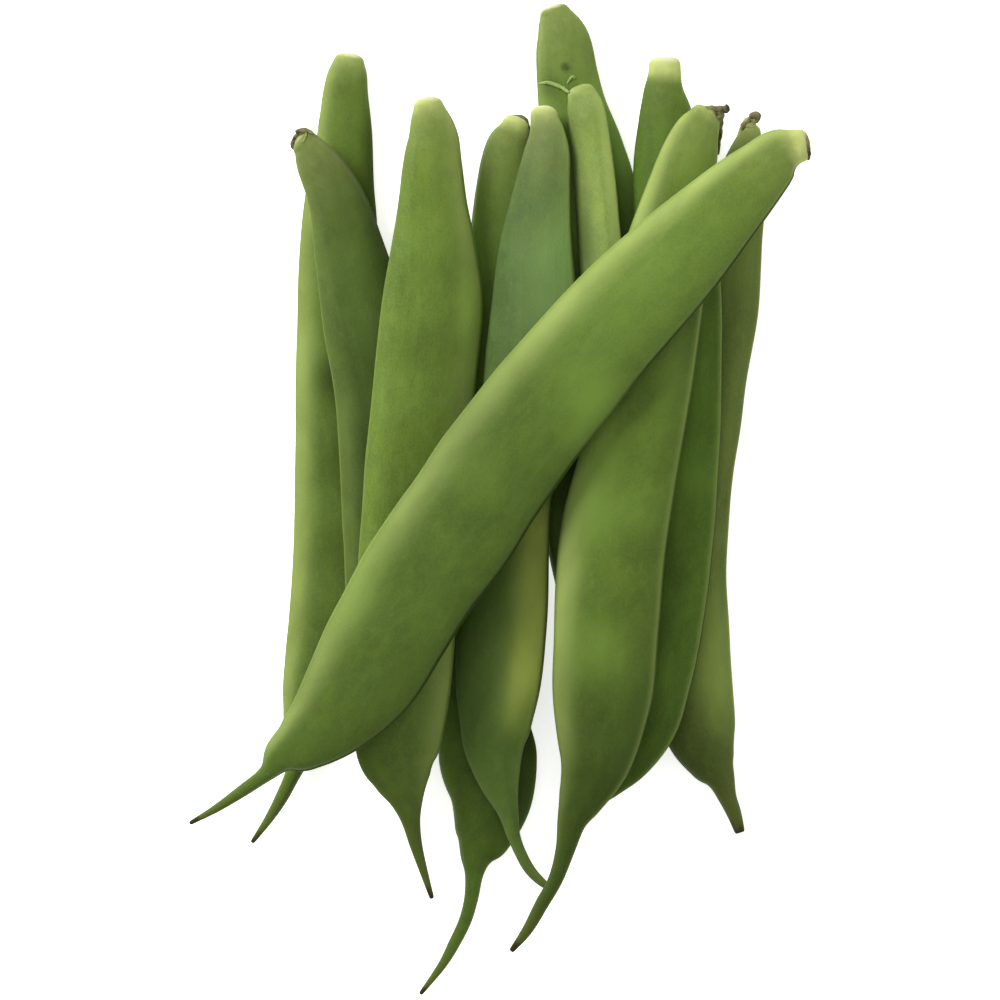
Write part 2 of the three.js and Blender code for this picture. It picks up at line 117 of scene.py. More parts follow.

# Each pod. Its stations run from its stem end to its beak, as [x, y, width].
# slot and tone: the name of its skin, and its row in TONES.
# arch: how far its middle bows up.
# suture: how many degrees its seams are turned about that line, up on the side of +X where
#   negative.
# stub: how far the neck of the stem end reaches.
# round_end: the rounding of that end, where it isn't END_ROUNDING.
# swell: how strongly its seeds show, where it isn't one.
# ridge: how strongly a fold runs along its upper face, with a painted highlight along it.
# pale, pale_fade and young: how pale its stem end is, with its own PALE_FADE or YOUNG_SHARE.
# uncut: how far the whitish cut of the stem is from showing.
# edges_light_and_shade: painted light and shade on its edges: how much lighter the edge at -X,
#   towards the light, and the other edge are than the middle, or darker where negative.
# rim: how dark the painted shade on its rim at +X is, where it isn't RIM_SHADE.
# deepen_and_shade: [start, stop, amount] of the darkening along the pod towards its beak,
#   partly its own deeper green and partly painted shade.
# marks_and_shadows: dark spots, blemishes and painted shadow, as [from the stem end, to -X,
#   radius, strength].
# light_and_shade_patches: patches of painted light, and of painted shade where negative, as
#   [from the stem end, to -X, half length, half width, strength].
PODS = {
    "pod_right_back": dict(
        slot="pod_deep_green", tone="olive", pale=0.5, uncut=2.0, arch=0, suture=-16, stub=3.4,
        edges_light_and_shade=[-0.2, 0.1], deepen_and_shade=[0.76, 0.9, 0.45],
        light_and_shade_patches=[[109, -3.6, 19, 4.8, 0.85], [66, -4, 20, 3, 0.2], [28, -1, 13, 6, 0.5]],
        stations=[
            [50.2, 75.6, 3.0], [49.9, 71.6, 6.0], [49.2, 67.0, 9.0], [47.8, 60.0, 11.6],
            [46.0, 52.0, 13.4], [44.8, 40.0, 14.4], [42.9, 28.0, 14.6], [41.0, 14.0, 14.4],
            [39.2, 0.0, 14.4], [38.4, -14.0, 14.4], [38.5, -28.0, 15.2], [39.0, -40.0, 15.8],
            [40.4, -47.0, 14.4], [42.7, -53.0, 9.4], [44.4, -56.2, 5.6], [45.6, -59.6, 3.8],
            [47.0, -63.0, 3.0], [48.2, -66.8, 2.0],
        ],
    ),
    "pod_centre_tall": dict(
        slot="pod_green", tone="green", round_end=2.1, pale=0.35, arch=0, suture=-10, stub=3.0,
        # The first mark is a blemish; the third is a painted shadow under the pale strand.
        marks_and_shadows=[[15.7, 0.1, 0.75, 1.8], [2.4, 1.9, 0.35, 0.5], [18.9, 3.6, 2.4, 0.55]],
        edges_light_and_shade=[0.3, 0.1], deepen_and_shade=[0.7, 0.85, 0.85],
        light_and_shade_patches=[[31, -6.5, 12, 4.5, 1.1], [40, 5.5, 16, 4, 1.4]],
        stations=[
            [10.4, 99.3, 4.2], [11.4, 96.4, 7.8], [12.6, 92.4, 10.8], [13.4, 85.2, 12.2],
            [14.6, 78.0, 13.8], [17.0, 70.0, 15.4], [19.6, 60.0, 16.8], [20.6, 40.0, 18.8],
            [20.0, 20.0, 20.0], [19.2, 0.0, 20.2], [19.2, -8.0, 19.6], [20.4, -18.0, 18.0],
            [20.8, -28.0, 16.6], [20.0, -40.0, 14.2], [18.4, -50.0, 10.0], [17.2, -58.0, 4.8],
            [16.6, -66.0, 0.8],
        ],
    ),
    "pod_left_back": dict(
        slot="pod_green", tone="lime", round_end=2.1, pale=0.6, young=0.06, swell=1.5,
        arch=0, suture=16, stub=2.6,
        edges_light_and_shade=[0.56, -0.42], deepen_and_shade=[0.0, 0.05, 0.16],
        light_and_shade_patches=[
            [9, -5, 9, 3.5, 0.45], [30, 0, 10, 6, -0.25], [54, 1, 9, 6, 0.3],
            [67, 2.5, 5, 4, -0.5], [93, 3, 6, 5, 0.3], [82, 0.5, 28, 3, -0.5],
        ],
        stations=[
            [-30.1, 89.7, 4.6], [-30.5, 86.2, 7.6], [-31.0, 82.0, 9.2], [-31.2, 76.0, 10.6],
            [-31.4, 70.0, 11.8], [-32.1, 60.0, 14.6], [-32.3, 50.0, 16.0], [-31.8, 36.0, 18.2],
            [-32.1, 0.0, 18.6], [-33.0, -20.0, 18.4], [-34.8, -32.0, 17.2], [-37.0, -40.0, 14.0],
            [-39.2, -46.4, 9.0], [-41.2, -54.0, 3.6], [-44.0, -60.0, 2.6], [-46.4, -64.0, 1.8],
            [-49.8, -68.8, 0.8],
        ],
    ),
    "pod_centre_long": dict(
        slot="pod_green", tone="leaf", pale=1.2, pale_fade=(3.6, 1.5), uncut=0.5,
        arch=0, suture=-14, stub=3.6,
        edges_light_and_shade=[0.1, -0.3], deepen_and_shade=[0.5, 0.9, 0.06],
        light_and_shade_patches=[[31, 6.5, 22, 2.6, 0.6], [142, -3.5, 13, 5.5, -0.7]],
        stations=[
            [4.0, 76.8, 4.2], [2.8, 74.0, 6.6], [1.6, 70.8, 9.0], [1.0, 62.0, 12.2],
            [1.4, 50.0, 15.6], [1.0, 34.0, 17.4], [-1.0, 4.0, 16.8], [-1.4, -20.0, 17.6],
            [-2.8, -39.0, 18.0], [-3.0, -45.6, 18.6], [-2.4, -51.6, 20.0], [-1.8, -60.0, 16.6],
            [-3.5, -68.0, 11.4], [-4.8, -71.8, 6.6], [-5.2, -75.0, 3.8], [-5.8, -80.0, 2.8],
            [-7.0, -84.4, 2.6], [-9.2, -89.0, 2.4], [-11.4, -93.0, 1.8], [-16.0, -99.2, 0.8],
        ],
    ),
    "pod_right_mid": dict(
        slot="pod_deep_green", tone="deep", pale=1.0, pale_fade=(4.8, 4.0), young=0.12, rim=0.6,
        arch=1.5, suture=-24, stub=5.2,
        edges_light_and_shade=[-0.1, -0.25], deepen_and_shade=[0.6, 0.95, 0.3],
        light_and_shade_patches=[
            [12, 0, 7, 8, -0.32], [60, 0, 34, 8, 0.22], [88, 0, 9, 7, 0.35], [127, -1, 9, 6, 0.4],
        ],
        stations=[
            [33.0, 88.8, 5.6], [33.0, 85.6, 6.8], [32.8, 82.0, 8.4], [33.1, 78.4, 10.6],
            [34.2, 68.0, 15.6], [35.4, 52.0, 17.4], [36.0, 30.0, 17.6], [35.0, 0.0, 17.2],
            [32.4, -24.0, 17.2], [30.0, -36.0, 17.0], [28.2, -44.0, 15.8], [24.8, -51.4, 12.2],
            [21.2, -57.0, 6.8], [18.2, -60.8, 3.4], [15.0, -65.2, 2.4], [11.2, -73.0, 0.8],
        ],
    ),
    "pod_slim": dict(
        slot="pod_yellow_green", tone="yellow", pale=0.3, uncut=1.6, young=0.0,
        arch=-0.8, suture=-20, stub=4.0,
        marks_and_shadows=[[3.4, 1.4, 1.1, 0.2], [5, 0, 6, 0.12]],
        edges_light_and_shade=[-0.3, 0.6], deepen_and_shade=[0.3, 0.8, 0.2],
        light_and_shade_patches=[[11, 0, 7, 5, -0.2], [30, 3.6, 20, 3.2, -0.7]],
        stations=[
            [15.6, 83.0, 4.0], [16.8, 79.6, 7.2], [18.0, 72.0, 8.2], [19.6, 56.0, 8.8],
            [21.0, 32.0, 9.6], [21.0, 4.0, 9.8], [20.4, -20.0, 9.2], [19.6, -36.0, 7.2],
            [18.8, -46.0, 4.0], [18.0, -57.0, 0.8],
        ],
    ),
    "pod_left_inner": dict(
        slot="pod_deep_green", tone="dusk", pale=0.3, uncut=1.0, arch=2.5, suture=14, stub=2.8,
        edges_light_and_shade=[0.2, -0.3], deepen_and_shade=[0.5, 0.9, 0.0],
        light_and_shade_patches=[
            [12, 0, 12, 8, -0.28], [38, 0, 17, 8, 0.28], [73, 0, 8, 8, -0.35],
            [56, 3.8, 20, 2.2, -0.4],
        ],
        stations=[
            [-40.2, 72.4, 4.2], [-38.6, 70.8, 6.2], [-36.7, 67.6, 8.6], [-32.8, 60.0, 11.4],
            [-29.7, 48.0, 14.8], [-27.0, 36.0, 17.2], [-23.8, 20.0, 18.6], [-22.2, -8.0, 18.6],
            [-21.4, -28.0, 17.4], [-20.2, -40.0, 13.8], [-19.2, -48.0, 8.8], [-19.0, -54.0, 4.4],
            [-18.8, -61.0, 0.8],
        ],
    ),
    "pod_centre_front": dict(
        slot="pod_blue_green", tone="blue", round_end=2.2, pale=0.95, uncut=0.4, ridge=1.0,
        arch=1.5, suture=-26, stub=3.6,
        edges_light_and_shade=[-0.1, 0.2], deepen_and_shade=[0.2, 0.55, 0.34],
        light_and_shade_patches=[
            [9, 0, 8, 6, -0.2], [37, 0, 13, 9, 0.3], [34, -5.8, 22, 5, 0.62],
            [95, -7.5, 18, 5, 0.9], [104, 5, 14, 4.5, -0.4], [116, 2.5, 12, 6, 0.5],
        ],
        stations=[
            [8.9, 79.0, 4.4], [8.9, 76.6, 6.0], [9.4, 73.4, 7.6], [9.4, 70.0, 9.4],
            [8.7, 64.0, 11.2], [7.4, 52.0, 14.8], [6.8, 38.0, 17.8], [5.8, 23.0, 18.4],
            [1.8, 0.0, 16.8], [0.4, -24.0, 17.8], [-0.4, -38.0, 17.0], [-0.8, -44.0, 15.2],
            [-1.2, -49.0, 12.8], [-0.2, -56.0, 8.8], [1.6, -62.4, 4.4], [3.0, -68.0, 2.6],
            [5.8, -73.8, 2.2], [8.2, -76.4, 1.8], [11.2, -78.6, 0.8],
        ],
    ),
    "pod_left_front": dict(
        slot="pod_green", tone="spring", round_end=2.3, pale=1.2, swell=1.8,
        arch=2, suture=12, stub=3.2,
        edges_light_and_shade=[-0.1, 0.5], deepen_and_shade=[0.6, 0.95, 0.62],
        light_and_shade_patches=[
            [47, -7.5, 10, 3, 0.55], [53, 1, 9, 7, -0.28], [66, 2, 7, 8, 0.1], [80, 0, 9, 8, -0.3],
        ],
        stations=[
            [-14.6, 80.8, 4.4], [-14.1, 77.2, 7.4], [-13.4, 72.4, 10.2], [-13.5, 68.0, 11.6],
            [-13.4, 60.0, 13.6], [-13.2, 52.0, 16.6], [-13.4, 40.0, 20.2], [-15.0, 24.0, 20.6],
            [-17.8, -4.0, 20.2], [-19.0, -28.0, 20.0], [-19.8, -40.0, 19.4], [-20.4, -51.0, 16.4],
            [-19.6, -56.0, 11.4], [-18.6, -60.2, 6.6], [-17.8, -64.2, 3.8], [-16.8, -69.0, 2.5],
            [-13.6, -79.8, 0.9],
        ],
    ),
    "pod_right_front": dict(
        slot="pod_green", tone="lime", pale=0.6, uncut=1.0, swell=1.8,
        arch=2.5, suture=-24, stub=3.6,
        edges_light_and_shade=[0.65, -0.3], deepen_and_shade=[0.5, 0.82, 0.66],
        light_and_shade_patches=[
            [12, -2, 10, 5, 0.45], [42, 0, 8, 6, 0.45], [60, -6, 9, 5, 0.3], [84, -6, 10, 5, 0.25],
            [76, 6, 13, 5, 0.65], [90, 3, 8, 6, 0.3], [100, 0, 6, 9, -0.15], [114, 2, 11, 9, 0.5],
        ],
        stations=[
            [42.2, 78.0, 4.6], [40.8, 76.0, 7.6], [39.2, 73.2, 9.8], [37.8, 68.6, 12.0],
            [35.8, 60.0, 14.8], [32.6, 46.0, 18.4], [29.8, 32.0, 20.2], [25.8, 8.0, 20.4],
            [22.6, -8.0, 21.8], [21.4, -24.0, 21.4], [20.4, -40.0, 20.2], [19.0, -52.0, 14.8],
            [16.0, -60.0, 9.2], [14.4, -64.0, 6.2], [13.0, -70.0, 4.0], [11.0, -76.0, 3.0],
            [8.4, -80.6, 2.8], [5.4, -86.0, 2.2], [2.2, -90.2, 1.0],
        ],
    ),
    "pod_crossing": dict(
        slot="pod_green", tone="fresh", pale=1.3, pale_fade=(5.2, 2.2), rim=0.85,
        arch=5, suture=10, stub=4.4,
        edges_light_and_shade=[0.65, -0.05], deepen_and_shade=[0.15, 0.5, 0.38],
        light_and_shade_patches=[
            [48, 2, 15, 10, 0.3], [73, -1, 10, 8, 0.3], [74, -9, 9, 4, 0.6], [97, 1, 9, 10, 0.3],
            [130, 1, 11, 10, 0.26], [128, 10, 18, 4, 0.35], [138, -5, 10, 5, -0.42],
        ],
        stations=[
            [61.8, 71.0, 5.2], [58.9, 70.5, 7.3], [55.9, 69.2, 10.0], [52.5, 65.8, 12.4],
            [45.8, 59.4, 15.8], [39.0, 52.4, 18.8], [32.6, 45.8, 20.8], [21.4, 34.2, 22.4],
            [0.8, 8.8, 24.2], [-7.8, -4.2, 24.8], [-16.0, -15.6, 24.2], [-21.8, -25.6, 23.4],
            [-27.4, -35.4, 22.0], [-33.8, -43.4, 17.2], [-39.8, -48.6, 12.0], [-43.8, -51.2, 7.4],
            [-46.6, -54.5, 3.4], [-51.5, -58.1, 2.4], [-56.7, -61.6, 1.6], [-62.0, -64.6, 0.8],
        ],
    ),
}


# ---------------------------------------------------------------- the line of each pod

def span_points(p0, p1, p2, p3, steps):
    """Points of a centripetal Catmull-Rom span from p1 to p2."""
    pairs = (p0, p1), (p1, p2), (p2, p3)
    g0, g1, g2 = (max(np.linalg.norm(b - a) ** 0.5, LEAST_GAP) for a, b in pairs)
    slope1 = ((p1 - p0) / g0 - (p2 - p0) / (g0 + g1) + (p2 - p1) / g1) * g1
    slope2 = ((p2 - p1) / g1 - (p3 - p1) / (g1 + g2) + (p3 - p2) / g2) * g1
    t = np.linspace(0, 1, steps, endpoint=False)[:, None]
    cubic = 2 * p1 - 2 * p2 + slope1 + slope2
    square = -3 * p1 + 3 * p2 - 2 * slope1 - slope2
    return p1 + slope1 * t + square * t**2 + cubic * t**3


def smooth_line(stations):
    """The spline through the stations, whose third coordinate is the width."""
    points = np.array(stations, dtype=float)
    points = np.vstack([2 * points[0] - points[1], points, 2 * points[-1] - points[-2]])
    spans = [span_points(*points[i:i + 4], POINTS_PER_SPAN) for i in range(len(points) - 3)]
    return np.vstack([*spans, points[-2:-1]])


class PodLine:
    """A pod's middle line and width, by the share of its length from the stem end."""

    def __init__(self, stations):
        self.points = smooth_line(stations)
        steps = np.linalg.norm(np.diff(self.points, axis=0), axis=1)
        reach = np.concatenate([[0], np.cumsum(steps)])
        self.length = reach[-1]
        self.shares = reach / reach[-1]

    def at(self, share):
        columns = self.points.T
        return np.stack([np.interp(share, self.shares, column) for column in columns], axis=-1)

    def side(self, share):
        """Unit vectors that point across the pod, to the right of somebody at the stem end."""
        ahead = self.at(np.minimum(share + SIDE_STEP, 1))[..., :2]
        behind = self.at(np.maximum(share - SIDE_STEP, 0))[..., :2]
        along = (ahead - behind) / np.linalg.norm(ahead - behind, axis=-1, keepdims=True)
        return np.stack([along[..., 1], -along[..., 0]], axis=-1)


def bow(share, arch):
    """Height of the middle line above a level line."""
    dip = np.maximum(share - BEAK_START, 0) / (1 - BEAK_START)
    return 4 * arch * share * (1 - share) - BEAK_DIP * dip**2


def thickness(width):
    return np.minimum(
        TYPICAL_THICKNESS * np.sqrt(width / TYPICAL_WIDTH), THICKEST_SHARE_OF_WIDTH * width
    )


def seed_swell(share, length):
    count = round((LAST_SEED - FIRST_SEED) * length / SEED_SPACING)
    along = (share - FIRST_SEED) / (LAST_SEED - FIRST_SEED)
    inside = (along > 0) & (along < 1)
    return np.where(inside, SEED_SWELL * np.sin(math.pi * count * along) ** 2, 0)


# ---------------------------------------------------------------- the skin of each pod

def ring_shares(length):
    """Shares of the length at which rings stand, crowded towards both ends."""
    even = np.linspace(0, 1, RINGS)
    crowded = even - RING_CROWDING * np.sin(2 * math.pi * even)
    start = np.array(END_RING_STEPS) * END_ROUNDING / length
    stop = 1 - np.array(END_RING_STEPS[::-1]) * TIP_ROUNDING / length
    middle = crowded[(crowded > start[-1] * 1.2) & (crowded < stop[0] - start[-1] * 0.1)]
    return np.concatenate([start, middle, stop])


def ring_angles():
    even = np.arange(SIDES) * 2 * math.pi / SIDES
    return even - SIDE_CROWDING * np.sin(2 * even)


def rounding(distance, radius):
    """How far the surface has drawn in at a distance from a rounded end."""
    inside = np.clip(1 - distance / radius, 0, 1)
    return radius * (1 - np.sqrt(1 - inside**2))


def smooth(value, start, stop):
    """Runs from 0 at start to 1 at stop, with a gentle start and end."""
    t = np.clip((value - start) / (stop - start), 0, 1)
    return t * t * (3 - 2 * t)


def smooth_noise(points, size, offset):
    return np.array([noise.noise(Vector(p) / size + Vector((offset, 0, 0))) for p in points])


def section(angle):
    """Across and up on a superellipse with half axes of one."""
    across, up = np.cos(angle), np.sin(angle)
    power = SECTION_SQUARENESS
    radius = (np.abs(across) ** power + np.abs(up) ** power) ** (-1 / power)
    return across * radius, up * radius


def marks_and_shadows_on(pod, local, level):
    """Darkness of the small spots on the upper face: blemishes, and painted shadow."""
    mark_and_shadow = np.zeros(level.shape)
    for from_stem, across, radius, strength in pod.get("marks_and_shadows", []):
        gap = np.hypot(local[..., 0] - from_stem, local[..., 1] - across)
        mark_and_shadow += strength * np.exp(-((gap / radius) ** 2)) * (level > 0)
    return mark_and_shadow


def light_and_shade_patches_on(pod, local, level):
    """Painted light on the skin in its patches, and painted shade where less than 0."""
    light_and_shade = np.zeros(level.shape)
    for from_stem, across, long, wide, strength in pod.get("light_and_shade_patches", []):
        gap = np.hypot((local[..., 0] - from_stem) / long, (local[..., 1] - across) / wide)
        light_and_shade += strength * np.exp(-(gap**2)) * (level > 0)
    return light_and_shade


def skin_of(pod, number):
    """Rings of points of a level pod, in millimetres, and what the material reads at them."""
    line = PodLine(pod["stations"])
    share = ring_shares(line.length)
    middle = line.at(share)
    side = line.side(share)
    from_stem = share * line.length
    from_tip = line.length - from_stem
    drawn_in = rounding(from_stem, pod.get("round_end", END_ROUNDING))
    drawn_in = drawn_in + rounding(from_tip, TIP_ROUNDING) * TIP_ROUNDING_SHARE
    fullness = END_FULLNESS * np.exp(-((from_stem / END_FULLNESS_LENGTH) ** 2))
    width = middle[:, 2]
    along = np.stack([from_stem, 0 * share, 0 * share], -1)
    waver = smooth_noise(along, EDGE_WAVER_LENGTH, number)
    broad = np.clip(width / BROAD_WIDTH, 0, 1)
    half = width / 2 - EDGE_INSET * broad + EDGE_WAVER * waver * broad**2
    half = np.maximum(half + fullness - drawn_in, LEAST_HALF)
    thick = thickness(width) / 2 + END_FULLNESS_UP * fullness - END_ROUNDING_UP * drawn_in
    thick = np.maximum(thick, LEAST_HALF)
    collar = COLLAR_DEPTH * np.exp(-(((from_stem - pod["stub"]) / COLLAR_SPREAD) ** 2))
    half, thick = half - collar, thick - collar

    across, up = section(ring_angles())
    level = up[None, :] * thick[:, None]
    normal = np.stack([across[None, :] * thick[:, None], up[None, :] * half[:, None]], -1)
    normal /= np.linalg.norm(normal, axis=-1, keepdims=True)

    turn = math.radians(pod["suture"])
    seam_level = math.sin(turn) * thick[:, None] * np.sign(across)[None, :]
    from_seam = level - seam_level
    at_edge = (np.abs(across) > SEAM_ZONE)[None, :]
    grown = np.clip(from_stem / RELIEF_RISE, 0, 1)
    size = (broad * grown)[:, None]
    seam = np.exp(-((from_seam / SUTURE_SPREAD) ** 2)) * at_edge
    beside = (np.abs(from_seam) - SUTURE_GROOVE_PLACE) / SUTURE_GROOVE_SPREAD
    lift = size * (SUTURE_HEIGHT * seam - SUTURE_GROOVE * np.exp(-(beside**2)) * at_edge)
    ridge = pod.get("ridge", 0) * smooth(share, *RIDGE_RISE) * smooth(share, *RIDGE_FALL)
    ridge_place = RIDGE_PLACE - RIDGE_TURN * smooth(share, *RIDGE_TURN_SPAN)
    from_ridge = across[None, :] + ridge_place[:, None]
    ridge = ridge[:, None] * np.exp(-((from_ridge / RIDGE_SPREAD) ** 2)) * (up > 0)[None, :]
    lift = lift + size * ridge * RIDGE_HEIGHT

    whole_ring = np.ones((1, SIDES))
    local = np.stack([from_stem[:, None] * whole_ring, across[None, :] * half[:, None], level], -1)
    lumps = smooth_noise(local.reshape(-1, 3), LUMP_SIZE, LUMP_OFFSET * number)
    lumps = lumps.reshape(level.shape)
    lift = lift + LUMP_HEIGHT * lumps * np.clip(width / LUMPY_WIDTH, 0, 1)[:, None]
    swell = pod.get("swell", 1) * seed_swell(share, line.length)[:, None] * up[None, :] ** 3

    offset = local[..., 1] + normal[..., 0] * lift
    height = level + normal[..., 1] * lift + swell + bow(share, pod["arch"])[:, None]
    x = middle[:, 0, None] + side[:, 0, None] * offset
    y = middle[:, 1, None] + side[:, 1, None] * offset
    reach, steepness = pod.get("pale_fade", PALE_FADE)
    pale = pod["pale"] * np.exp(-((from_stem / reach) ** steepness))
    young = pod.get("young", YOUNG_SHARE) * np.exp(-((from_stem / YOUNG_LENGTH) ** 2))
    pale = np.minimum(np.maximum(pale, young), 1)
    start, stop, amount = pod["deepen_and_shade"]
    # Painted light and shade on the edges: lighter on the side at -X, towards the light, darker on
    # the far side.
    edge_light_and_shade = np.where(across > 0, *pod["edges_light_and_shade"]) * smooth(np.abs(across), EDGE_START, 1.0)
    # Painted shade along the rims, darkest at the outermost edge.
    rim = np.where(across > 0, RIM_SHADE, pod.get("rim", RIM_SHADE))
    edge_light_and_shade = edge_light_and_shade - rim * smooth(np.abs(across), RIM_START, 1.0)
    readings = dict(
        skin=local,
        seam=seam * size,
        ridge=size * ridge,
        edge_light_and_shade=edge_light_and_shade[None, :] * grown[:, None] * broad[:, None],
        pale=pale[:, None] * whole_ring,
        # Darker towards the beak: partly the pod's own deeper green, partly painted shade.
        deep=amount * smooth(share, start, stop)[:, None] * whole_ring,
        mark_and_shadow=marks_and_shadows_on(pod, local, level),
        light_and_shade=light_and_shade_patches_on(pod, local, level),
        from_stem=(from_stem + pod.get("uncut", 0))[:, None] * whole_ring,
        from_tip=from_tip[:, None] * whole_ring,
    )
    return np.stack([x, y, height], -1), readings


def loft_faces(rings, sides):
    faces = []
    for ring in range(rings - 1):
        for i in range(sides):
            here, after = ring * sides + i, ring * sides + (i + 1) % sides
            faces.append((here, here + sides, after + sides, after))
    return faces


def end_fans(rings, sides):
    """Faces from the first and the last ring to the two points that follow all rings."""
    start, stop, last = rings * sides, rings * sides + 1, (rings - 1) * sides
    faces = []
    for i in range(sides):
        after = (i + 1) % sides
        faces += [(start, i, after), (stop, last + after, last + i)]
    return faces


def capped(points, rings, sides):
    """Closes both ends of a loft with a fan round an extra point."""
    ends = np.stack([points[:sides].mean(0), points[-sides:].mean(0)])
    return np.vstack([points, ends]), loft_faces(rings, sides) + end_fans(rings, sides)


def turned(faces):
    return [tuple(reversed(face)) for face in faces]


def mesh_object(name, points, faces, material):
    mesh = bpy.data.meshes.new(name)
    mesh.from_pydata([tuple(p) for p in points], [], faces)
    mesh.polygons.foreach_set("use_smooth", [True] * len(mesh.polygons))
    mesh.materials.append(material)
    mesh.update()
    piece = bpy.data.objects.new(name, mesh)
    bpy.context.scene.collection.objects.link(piece)
    return piece


def with_end_points(values):
    """The values of all rings in one list, and those of the two points that close the ends."""
    values = np.asarray(values, dtype=float)
    if values.ndim == 3:
        ends = np.stack([values[0, 0], values[-1, 0]]) * [1, 0, 0]
        return np.vstack([values.reshape(-1, 3), ends])
    return np.append(values.ravel(), [values[0, 0], values[-1, 0]])


def add_values(mesh, name, values):
    """Stores a number or a vector at each vertex, in the order of the vertices."""
    values = np.asarray(values, dtype=float)
    kind, key = ("FLOAT", "value") if values.ndim == 1 else ("FLOAT_VECTOR", "vector")
    mesh.attributes.new(name, kind, "POINT").data.foreach_set(key, values.ravel())


# ---------------------------------------------------------------- where the CAD nodes lie

RAY_START = 0.2  # in metres, above the whole heap
END_RINGS = 12  # that are left out of the fit to a node
RING_STRIDE = 4


def tree_of(node):
    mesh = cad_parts[node].data
    corners = [v.co.copy() for v in mesh.vertices]
    return BVHTree.FromPolygons(corners, [tuple(p.vertices) for p in mesh.polygons])


def height_on(tree, x, y):
    hit = tree.ray_cast(Vector((x, y, RAY_START)), Vector((0, 0, -1)))[0]
    return None if hit is None else hit.z


def plan_shift(skins):
    """How far the stations' own origin lies from the frame's, in metres."""
    gaps = []
    for node, (points, _) in skins.items():
        low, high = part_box(node)
        flat = points.reshape(-1, 3)[:, :2] * MM
        gaps.append((np.array(low[:2]) + np.array(high[:2]) - flat.min(0) - flat.max(0)) / 2)
    return np.median(np.array(gaps), axis=0)


def resting_plane(node, points, shift):
    """The plane by which a level pod is raised to where its CAD node lies: z = a + b x + c y."""
    tree = tree_of(node)
    rows, rises = [], []
    tops = points[END_RINGS:-END_RINGS:RING_STRIDE, SIDES // 8:SIDES // 2 - SIDES // 8 + 1]
    for x, y, z in tops.reshape(-1, 3) * MM:
        x, y = x + shift[0], y + shift[1]
        top = height_on(tree, x, y)
        if top is not None:
            rows.append([1, x, y])
            rises.append(top - z)
    return np.linalg.lstsq(np.array(rows), np.array(rises), rcond=None)[0]


def set_down(points, plane, shift):
    placed = points * MM
    placed[..., 0] += shift[0]
    placed[..., 1] += shift[1]
    placed[..., 2] += plane[0] + plane[1] * placed[..., 0] + plane[2] * placed[..., 1]
    placed[..., 2] = np.maximum(placed[..., 2], 0.0)
    return placed


# ---------------------------------------------------------------- materials

def paint(red, green, blue):
    """A screen colour of 0 to 255 as the linear colour that a shader reads."""
    linear = [
        ((c / 255 + 0.055) / 1.055) ** 2.4 if c > 10 else c / 255 / 12.92
        for c in (red, green, blue)
    ]
    return (*linear, 1.0)


def shader_tree(name):
    material = bpy.data.materials.new(name)
    material.use_nodes = True
    return material, material.node_tree, material.node_tree.nodes["Principled BSDF"]


def set_inputs(tree, node, inputs):
    for key, value in inputs.items():
        if isinstance(value, bpy.types.NodeSocket):
            tree.links.new(value, node.inputs[key])
        else:
            node.inputs[key].default_value = value


def add(tree, kind, inputs=None, **settings):
    node = tree.nodes.new(kind)
    for key, value in settings.items():
        setattr(node, key, value)
    set_inputs(tree, node, inputs or {})
    return node


def reading(tree, name, output="Fac"):
    return add(tree, "ShaderNodeAttribute", attribute_name=name).outputs[output]


def cloud(tree, vector, scale, detail=2.0, distortion=0.0):
    """Noise at a scale, which is a number or three."""
    if isinstance(scale, tuple):
        stretch = add(tree, "ShaderNodeVectorMath", {0: vector, 1: scale}, operation="MULTIPLY")
        vector, scale = stretch.outputs[0], 1.0
    inputs = {"Vector": vector, "Scale": scale, "Detail": detail, "Distortion": distortion}
    return add(tree, "ShaderNodeTexNoise", inputs).outputs[0]


def ramp(tree, value, start, stop, low=0.0, high=1.0):
    """Runs smoothly from low to high as the value goes from start to stop."""
    inputs = {"Value": value, "From Min": start, "From Max": stop, "To Min": low, "To Max": high}
    node = add(tree, "ShaderNodeMapRange", inputs, interpolation_type="SMOOTHSTEP")
    return node.outputs[0]


def calc(tree, operation, first, second):
    return add(tree, "ShaderNodeMath", {0: first, 1: second}, operation=operation).outputs[0]


def times(tree, first, second):
    return calc(tree, "MULTIPLY", first, second)


def blend_colour(tree, share, first, second):
    inputs = {0: share, 6: first, 7: second}
    return add(tree, "ShaderNodeMix", inputs, data_type="RGBA").outputs[2]


def layered(tree, colour, layers):
    """Lays colours over the first, each given as where it shows and its colour."""
    for share, over in layers:
        colour = blend_colour(tree, share, colour, over)
    return colour


def bumped(tree, height, strength, distance):
    inputs = {"Height": height, "Strength": strength, "Distance": distance}
    return add(tree, "ShaderNodeBump", inputs).outputs[0]


def spots(tree, vector, spacing, radius, rarity):
    """One in the middle of a few cells, and nothing elsewhere."""
    inputs = {"Vector": vector, "Scale": 1 / spacing}
    cells = add(tree, "ShaderNodeTexVoronoi", inputs)
    near = ramp(tree, cells.outputs["Distance"], radius / spacing, 0.0)
    return times(tree, near, calc(tree, "GREATER_THAN", cells.outputs["Color"], rarity))


